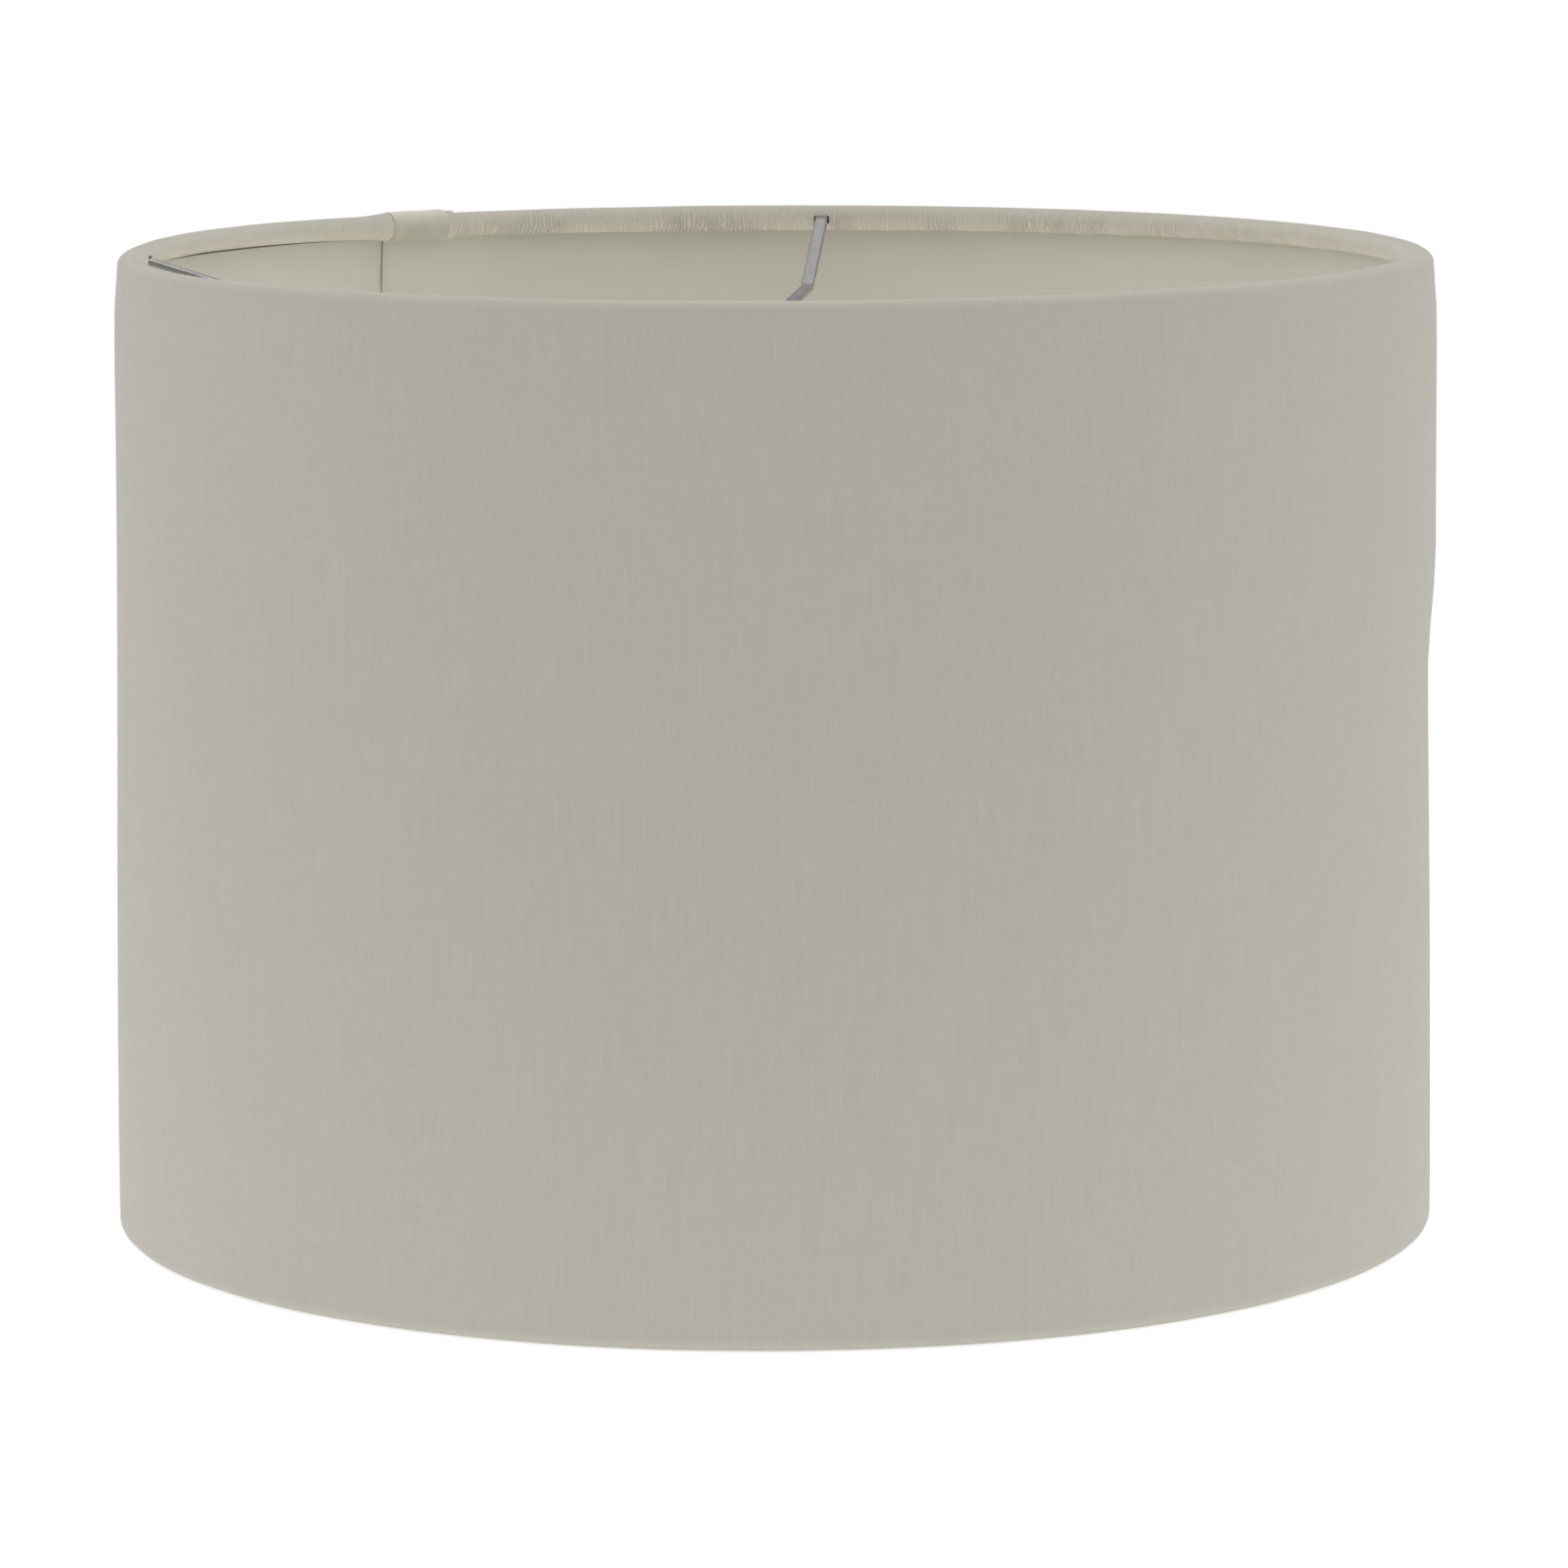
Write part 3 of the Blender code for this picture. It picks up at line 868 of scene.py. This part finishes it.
class SHADE_OT_seam_tape(bpy.types.Operator):
    """Adhesive tape between the seam's two layers"""

    bl_idname = "shade.seam_tape"
    bl_label = "Seam tape"

    def execute(self, context):
        sizes = context.scene.shade_sizes
        low, high = TAPE_LOW[2], TAPE_HIGH[2]
        rows, columns = 24, 8
        end = sizes.lap_start + (sizes.lap - PRESSED_EDGE - 0.4 * MM) / sizes.radius
        width = sizes.tape_width / sizes.radius
        angles = [end - width * (1 - k / columns) for k in range(columns + 1)]
        levels = [(high - low) * k / rows for k in range(rows + 1)]
        inset = sizes.cloth + sizes.backing + 2 * TOUCH

        def place(angle, row):
            z = low + levels[row]
            return place_at(sizes.radius - inset + wall_shift(sizes, angle, z), z, angle)

        tape, _, _ = wind_grid("adhesive_tape_strip", angles, levels, place)
        thicken(tape, TAPE_THICKNESS - TOUCH, -1)
        settle(tape, ["seam_tape"], tape_material(), 40)
        return {"FINISHED"}


class SHADE_OT_hem_tab(bpy.types.Operator):
    """Smooth tab rolled over the top hem at the seam"""

    bl_idname = "shade.hem_tab"
    bl_label = "Hem tab"

    def execute(self, context):
        sizes, colours = context.scene.shade_sizes, context.scene.shade_colours
        roll = sizes.radius - sizes.hoop_radius
        columns, rows = 26, 30
        turn = sizes.tab_width / sizes.radius
        start = sizes.lap_start + sizes.lap / sizes.radius - turn
        angles = [start + turn * (k / columns) for k in range(columns + 1)]
        covered = TAB_WRAPS[1] - TAB_WRAPS[0]
        wraps = [TAB_WRAPS[0] + covered * k / rows for k in range(rows + 1)]
        levels = [math.radians(wrap - wraps[0]) * roll for wrap in wraps]

        def place(angle, row):
            share = (angle - angles[0]) / turn
            edge = min(share, 1 - share) * sizes.tab_width
            bulge = 0.15 * MM * math.exp(-((share - 0.14) / 0.1) ** 2)
            sag = 0.07 * MM * wander(share * 3, wraps[row] * 0.03, 12)
            press = 0.10 * MM * math.exp(-edge / (0.6 * MM))
            trim = 0.35 * MM * wander(share * 6, 4, 30) * (1 if row in (0, rows) else 0)
            wrap = wraps[row] + math.degrees(trim / roll)
            off_cloth = TAB_RIDE + bulge + sag - press
            radius, z = hem_point(sizes, angle, wrap, 1, lap_lift(sizes, angle) + off_cloth)
            return place_at(radius, z, angle)

        tab, _, _ = wind_grid("hem_tab_strip", angles, levels, place)
        thicken(tab, TAB_THICKNESS, -1)
        settle(tab, ["hem_tab"], tab_material(colours), 50)
        return {"FINISHED"}


class SHADE_OT_arms(bpy.types.Operator):
    """Flat steel arms that slope down from the top hoop and run level to the fitter"""

    bl_idname = "shade.arms"
    bl_label = "Arms"

    def execute(self, context):
        sizes, colours = context.scene.shade_sizes, context.scene.shade_colours
        steel = steel_material("plated_steel", colours.steel, 0.3, 0.22)
        start, end = ARM_HIGH[0], ARM_LOW[0]
        top, level = (HOOP_LOW[2] + HOOP_HIGH[2]) / 2, ARM_LOW[2] + sizes.arm_thickness / 2
        drop = top - level
        tilt = math.atan(drop / (start - sizes.arm_level_reach))
        reach = ARM_BEND_RADIUS * math.tan(tilt / 2)
        deselect_all()
        bpy.ops.mesh.primitive_cube_add(size=1, location=(start - 1 * MM, 0, top))
        arm = take("arm_strip_1")
        arm.scale = (2 * MM, sizes.arm_width, sizes.arm_thickness)
        arm.rotation_euler = (0, -tilt, 0)
        bpy.ops.object.transform_apply(location=True, rotation=True, scale=True)
        slope = (sizes.arm_level_reach + reach * math.cos(tilt), 0, level + reach * math.sin(tilt))
        face = self.end_face(arm)
        here = sum((arm.data.vertices[v].co for v in face.vertices), Vector()) / 4
        self.extrude(arm, Vector(slope) - here)
        centre = (sizes.arm_level_reach - reach, 0, level + ARM_BEND_RADIUS)
        self.spin(arm, centre, tilt)
        face = self.end_face(arm)
        here = sum((arm.data.vertices[v].co for v in face.vertices), Vector()) / 4
        self.extrude(arm, Vector((end, 0, level)) - here)
        rounding = arm.modifiers.new("rolled_edges", "BEVEL")
        rounding.width = 0.5 * MM
        rounding.segments = 3
        rounding.limit_method = "ANGLE"
        rounding.angle_limit = math.radians(60)
        apply_modifiers(arm)
        copies = [arm]
        for k in range(1, ARM_COUNT):
            copy = arm.copy()
            copy.data = arm.data.copy()
            copy.name = f"arm_strip_{k + 1}"
            copy.data.transform(Matrix.Rotation(2 * math.pi * k / ARM_COUNT, 4, "Z"))
            context.scene.collection.objects.link(copy)
            copies.append(copy)
        for k, copy in enumerate(copies):
            settle(copy, [f"arm_{k + 1}"], steel, 50)
        return {"FINISHED"}

    def end_face(self, arm):
        """The face at the arm's inner end."""
        return min(arm.data.polygons, key=lambda face: face.center.x)

    def select_end(self, arm):
        """Enters edit mode with the inner end face selected."""
        bpy.ops.object.mode_set(mode="EDIT")
        bpy.ops.mesh.select_mode(type="FACE")
        bpy.ops.mesh.select_all(action="DESELECT")
        bpy.ops.object.mode_set(mode="OBJECT")
        self.end_face(arm).select = True
        bpy.ops.object.mode_set(mode="EDIT")

    def extrude(self, arm, move):
        """Draws the inner end out by a move."""
        self.select_end(arm)
        bpy.ops.mesh.extrude_region_move(TRANSFORM_OT_translate={"value": move})
        bpy.ops.object.mode_set(mode="OBJECT")

    def spin(self, arm, centre, angle):
        """Bends the strip level about a centre; the operator turns the other way round +Y."""
        self.select_end(arm)
        bpy.ops.mesh.spin(steps=8, angle=-angle, center=centre, axis=(0, 1, 0), dupli=False)
        bpy.ops.object.mode_set(mode="OBJECT")


class SHADE_OT_fitter(bpy.types.Operator):
    """Pressed steel ring for the lampholder, with the arms welded to its edge"""

    bl_idname = "shade.fitter"
    bl_label = "Fitter ring"

    def execute(self, context):
        sizes, colours = context.scene.shade_sizes, context.scene.shade_colours
        steel = steel_material("fitter_steel", colours.steel, 0.4, 0.28)
        top, low, outside = FITTER_HIGH[2], FITTER_LOW[2], FITTER_HIGH[0]
        deselect_all()
        bpy.ops.mesh.primitive_circle_add(
            vertices=128, radius=sizes.hole / 2, fill_type="NOTHING", location=(0, 0, top)
        )
        ring = take("fitter_pressing")
        bpy.ops.object.mode_set(mode="EDIT")
        bpy.ops.mesh.select_mode(type="EDGE")
        bpy.ops.mesh.select_all(action="SELECT")
        for factor, drop in self.pressing(sizes.hole / 2, outside, top - low):
            bpy.ops.mesh.extrude_region_move(TRANSFORM_OT_translate={"value": (0, 0, -drop)})
            bpy.ops.transform.resize(value=(factor, factor, 1), center_override=(0, 0, 0))
        bpy.ops.mesh.select_all(action="SELECT")
        bpy.ops.mesh.normals_make_consistent(inside=False)
        bpy.ops.object.mode_set(mode="OBJECT")
        if sum(face.normal.z for face in ring.data.polygons) < 0:
            ring.data.flip_normals()
        thicken(ring, RING_THICKNESS, -1)
        rounding = ring.modifiers.new("trimmed_edges", "BEVEL")
        rounding.width = 0.25 * MM
        rounding.segments = 2
        rounding.limit_method = "ANGLE"
        rounding.angle_limit = math.radians(50)
        apply_modifiers(ring)
        settle(ring, ["fitter_ring"], steel, 45)
        self.add_welds(context, outside, (top + low) / 2, steel)
        return {"FINISHED"}

    def pressing(self, hole, outside, height):
        """(scale, drop) steps from the hole's edge, over the plate and down the skirt."""
        steps = []
        radius = hole
        inner = outside - RING_CORNER
        stops = [(inner, 0.0)]
        for k in range(1, 6):
            turn = math.pi / 2 * k / 5
            stops.append((inner + RING_CORNER * math.sin(turn), RING_CORNER * (1 - math.cos(turn))))
        stops.append((outside, height))
        z = 0.0
        for stop, drop in stops:
            steps.append((stop / radius, drop - z))
            radius, z = stop, drop
        return steps

    def add_welds(self, context, outside, z, steel):
        """A small bead at the end of each arm."""
        beads = []
        for k in range(ARM_COUNT):
            turn = 2 * math.pi * k / ARM_COUNT
            deselect_all()
            spot = (outside + 0.25 * MM) * math.cos(turn), (outside + 0.25 * MM) * math.sin(turn), z
            bpy.ops.mesh.primitive_ico_sphere_add(subdivisions=4, radius=1.25 * MM, location=spot)
            bead = take(f"weld_bead_{k + 1}")
            for vertex in bead.data.vertices:
                rough = 1 + 0.16 * noise.noise(vertex.co * 1400 + Vector((k * 5, 0, 0)))
                vertex.co = vertex.co * rough
                vertex.co.x *= 1.25 if k % 2 == 0 else 1.45
                vertex.co.y *= 1.45 if k % 2 == 0 else 1.25
            beads.append(bead)
        for bead in beads:
            settle(bead, [], steel, 60)


class SHADE_OT_hidden_parts(bpy.types.Operator):
    """Finish of the wire hoops, which the cloth hides"""

    bl_idname = "shade.hidden_parts"
    bl_label = "Wire hoops"

    def execute(self, context):
        colours = context.scene.shade_colours
        wire = steel_material("hoop_wire", colours.steel, 0.5, 0.36)
        for name in ("top_hoop", "bottom_hoop"):
            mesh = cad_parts[name].data
            mesh.materials.clear()
            mesh.materials.append(wire)
        return {"FINISHED"}


CAMERA_AZIMUTH = -85
CAMERA_PLACE = (1.7595, 0.3555)  # distance from the axis, height
CAMERA_PITCH = 0.1442  # downwards, in radians
CAMERA_ROLL = -0.0044
ROOM_FRONT = (math.cos(math.radians(CAMERA_AZIMUTH)), math.sin(math.radians(CAMERA_AZIMUTH)), 0)
ROOM_SIDE = (-ROOM_FRONT[1], ROOM_FRONT[0], 0)
ROOM_LIGHT = (  # direction, how narrow, colour
    ((0, 0, 1), 0, (0.056, 0.056, 0.058)),
    ((0, 0, 1), 2, (1.70, 1.69, 1.64)),
    ((-ROOM_FRONT[0], -ROOM_FRONT[1], 0), 2, (0.19, 0.19, 0.20)),
    (ROOM_SIDE, 4, (0.98, 0.98, 1.14)),
)
FLOOR_GLOW_NEAR = (0.54, 0.55, 0.555, 1)
FLOOR_GLOW_FAR = (0.1, 0.1, 0.1, 1)
FLOOR_GLOW_REACH = (0.12, 0.55)  # metres from the axis between which the floor's glow fades


class SHADE_OT_stage(bpy.types.Operator):
    """Pale floor, soft light and camera"""

    bl_idname = "shade.stage"
    bl_label = "Stage"

    def execute(self, context):
        self.lay_floor(context)
        self.light(context)
        self.add_camera(context)
        return {"FINISHED"}

    def lay_floor(self, context):
        """A wide pale floor, which glows a little round the shade."""
        deselect_all()
        bpy.ops.mesh.primitive_plane_add(size=60)
        floor = take("floor")
        material, tree, shader = start_material("pale_floor")
        colour = context.scene.shade_colours.floor
        shader.inputs["Base Color"].default_value = (*colour, 1)
        away = add_node(tree, "ShaderNodeVectorMath", {0: own_place(tree)}, operation="LENGTH")
        bounce = remap(tree, away.outputs["Value"], *FLOOR_GLOW_REACH, 1.0, 0.0)
        tree.links.new(
            blend_colours(tree, bounce, FLOOR_GLOW_FAR, FLOOR_GLOW_NEAR), shader.inputs["Emission Color"]
        )
        set_constants(shader, Roughness=0.9, Emission_Strength=1.0)
        floor.data.materials.append(material)
        floor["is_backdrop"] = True

    def light(self, context):
        """Soft overhead light, weaker light from both sides, and a plain white backdrop."""
        world = bpy.data.worlds.new("soft_room")
        world.use_nodes = True
        tree = world.node_tree
        ray = add_node(tree, "ShaderNodeTexCoord").outputs["Generated"]
        glow = None
        for towards, power, colour in ROOM_LIGHT:
            facing = add_node(
                tree, "ShaderNodeVectorMath", {0: ray, 1: towards}, operation="DOT_PRODUCT"
            ).outputs["Value"]
            if towards == ROOM_SIDE:
                facing = calc(tree, "ABSOLUTE", facing)
            amount = calc(tree, "POWER", calc(tree, "MAXIMUM", facing, 0.0), power)
            part = add_node(
                tree, "ShaderNodeVectorMath", {0: colour, "Scale": amount}, operation="SCALE"
            ).outputs[0]
            if glow is not None:
                both = add_node(tree, "ShaderNodeVectorMath", {0: glow, 1: part}, operation="ADD")
                part = both.outputs[0]
            glow = part
        direct = add_node(tree, "ShaderNodeLightPath").outputs["Is Camera Ray"]
        seen = blend_colours(tree, direct, glow, (1, 1, 1, 1))
        tree.links.new(seen, tree.nodes["Background"].inputs["Color"])
        context.scene.world = world

    def add_camera(self, context):
        """A long lens a little above the rim, facing the shade."""
        camera = bpy.data.cameras.new("camera")
        camera.lens = 176.4
        camera.sensor_width = 36
        camera.shift_x = 0.00675
        camera.shift_y = 0.00325
        camera.clip_end = 200
        thing = bpy.data.objects.new("camera", camera)
        away, height = CAMERA_PLACE
        thing.location = (away * ROOM_FRONT[0], away * ROOM_FRONT[1], height)
        turn = Matrix.Rotation(math.radians(CAMERA_AZIMUTH + 90), 4, "Z")
        tip = Matrix.Rotation(math.pi / 2 - CAMERA_PITCH, 4, "X")
        thing.rotation_euler = (turn @ tip @ Matrix.Rotation(CAMERA_ROLL, 4, "Z")).to_euler()
        context.scene.collection.objects.link(thing)
        context.scene.camera = thing


STEPS = (
    SHADE_OT_stage,
    SHADE_OT_cover,
    SHADE_OT_backing,
    SHADE_OT_seam_tape,
    SHADE_OT_hem_tab,
    SHADE_OT_arms,
    SHADE_OT_fitter,
    SHADE_OT_hidden_parts,
)


class SHADE_PT_sidebar(bpy.types.Panel):
    """Sizes, colours and pieces of the shade"""

    bl_idname = "SHADE_PT_sidebar"
    bl_label = "Drum lamp shade"
    bl_space_type = "VIEW_3D"
    bl_region_type = "UI"
    bl_category = "Shade"

    def draw(self, context):
        for group in (context.scene.shade_sizes, context.scene.shade_colours):
            box = self.layout.box()
            for name in group.bl_rna.properties.keys():
                if name not in ("rna_type", "name"):
                    box.prop(group, name)
        for step in STEPS:
            self.layout.operator(step.bl_idname)


CLASSES = (ShadeSizes, ShadeColours, *STEPS, SHADE_PT_sidebar)


def register():
    for each in CLASSES:
        bpy.utils.register_class(each)
    bpy.types.Scene.shade_sizes = bpy.props.PointerProperty(type=ShadeSizes)
    bpy.types.Scene.shade_colours = bpy.props.PointerProperty(type=ShadeColours)


def unregister():
    del bpy.types.Scene.shade_colours
    del bpy.types.Scene.shade_sizes
    for each in reversed(CLASSES):
        bpy.utils.unregister_class(each)


def main():
    """Builds every piece in order and works out the frame's box and the finished one."""
    register()
    bpy.context.scene.view_settings.view_transform = "Standard"
    bpy.ops.shade.stage()
    bpy.ops.shade.cover()
    bpy.ops.shade.backing()
    bpy.ops.shade.seam_tape()
    bpy.ops.shade.hem_tab()
    bpy.ops.shade.arms()
    bpy.ops.shade.fitter()
    bpy.ops.shade.hidden_parts()
    boxes = {"frame": frame_box, "finished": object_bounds()}
    plain = {name: [[float(x) for x in corner] for corner in box] for name, box in boxes.items()}


if __name__ == "__main__":
    main()
